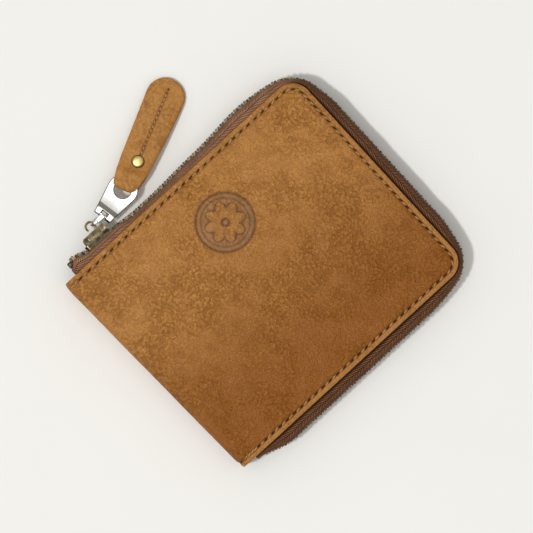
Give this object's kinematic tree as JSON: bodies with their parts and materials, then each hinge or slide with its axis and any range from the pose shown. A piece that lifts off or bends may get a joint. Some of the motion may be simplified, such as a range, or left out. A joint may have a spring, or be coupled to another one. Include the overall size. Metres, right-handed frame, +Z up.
{
  "type": "zip around wallet",
  "caption": "Leather wallet with two covers on a soft spine, card slots inside, and a metal zip round three edges with a leather pull tab.",
  "frame": {"origin": "on the resting face of the back cover, under the middle of the covers", "axes": "+X from the spine to the opening edge, +Y along the spine towards the slider's side, +Z up from the back cover to the front cover"},
  "size_m": [0.1241, 0.1396, 0.02],
  "materials": {
    "cover_leather": "pebbled vegetable-tanned leather, satin",
    "pocket_leather": "thin smooth tan leather",
    "board": "bonded leather board",
    "lining": "plain brown twill lining",
    "thread": "waxed straw-coloured thread",
    "zip_tape": "dark brown herringbone tape",
    "zip_teeth": "antique brass, dulled",
    "zip_stop": "darkened brass",
    "slider_metal": "antique nickel, worn bright on the edges",
    "puller_metal": "bright nickel",
    "rivet_brass": "polished brass"
  },
  "bodies": {
    "back": {"back_cover_leather": "cover_leather", "back_edge_stitching": "thread", "back_fold_leather": "cover_leather", "back_fold_lining": "lining", "back_stiffener": "board", "back_lining": "lining", "back_slip_pocket": "pocket_leather", "back_card_slot_1": "pocket_leather", "back_card_slot_2": "pocket_leather", "back_card_slot_3": "pocket_leather", "back_zip_tape": "zip_tape", "back_zip_teeth": "zip_teeth", "back_top_stop": "zip_stop", "bottom_stop": "zip_stop"},
    "spine": {"spine_leather": "cover_leather", "spine_lining": "lining"},
    "front": {"front_cover_leather": "cover_leather", "front_edge_stitching": "thread", "front_fold_leather": "cover_leather", "front_fold_lining": "lining", "front_stiffener": "board", "front_lining": "lining", "front_slip_pocket": "pocket_leather", "front_card_slot_1": "pocket_leather", "front_card_slot_2": "pocket_leather", "front_card_slot_3": "pocket_leather", "front_zip_tape": "zip_tape", "front_zip_teeth": "zip_teeth", "front_top_stop": "zip_stop"},
    "slider": {"slider_body": "slider_metal", "slider_cap": "slider_metal"},
    "link": {"puller_link": "slider_metal"},
    "puller": {"puller_plate": "puller_metal"},
    "pull_tab": {"pull_tab_loop": "cover_leather", "pull_tab_leather": "cover_leather", "pull_tab_stitching": "thread", "rivet_cap": "rivet_brass", "rivet_foot": "rivet_brass"}
  },
  "joints": [
    {"name": "back_fold", "type": "hinge", "parent": "back", "child": "spine", "pos_m": [-0.05914, 0, 0.00086], "axis": [0, -1, 0], "range_deg": [0, 90], "deforming": ["back_fold_leather", "back_fold_lining"]},
    {"name": "front_fold", "type": "hinge", "parent": "spine", "child": "front", "pos_m": [-0.05914, 0, 0.01914], "axis": [0, -1, 0], "range_deg": [0, 90], "deforming": ["front_fold_leather", "front_fold_lining"]},
    {"name": "zip_travel", "type": "slide", "parent": "back", "child": "slider", "axis": [1, 0, 0], "range_m": [0, 0.085], "deforming": ["back_zip_teeth", "front_zip_teeth"]},
    {"name": "link_swing", "type": "hinge", "parent": "slider", "child": "link", "pos_m": [-0.039, 0.0602, 0.01], "axis": [0, 0, 1], "range_deg": [0, 125]},
    {"name": "puller_lift", "type": "hinge", "parent": "link", "child": "puller", "pos_m": [-0.0322, 0.0601, 0.01], "axis": [0.1857, -0.9826, 0], "range_deg": [0, 90]},
    {"name": "tab_flap", "type": "hinge", "parent": "puller", "child": "pull_tab", "pos_m": [-0.01518, 0.06331, 0.00763], "axis": [0.4141, -0.9096, -0.0326], "range_deg": [-60, 80], "deforming": ["pull_tab_loop"]}
  ],
  "couplings": [
    {"joint": "front_fold", "follows": "back_fold", "ratio": 1}
  ]
}
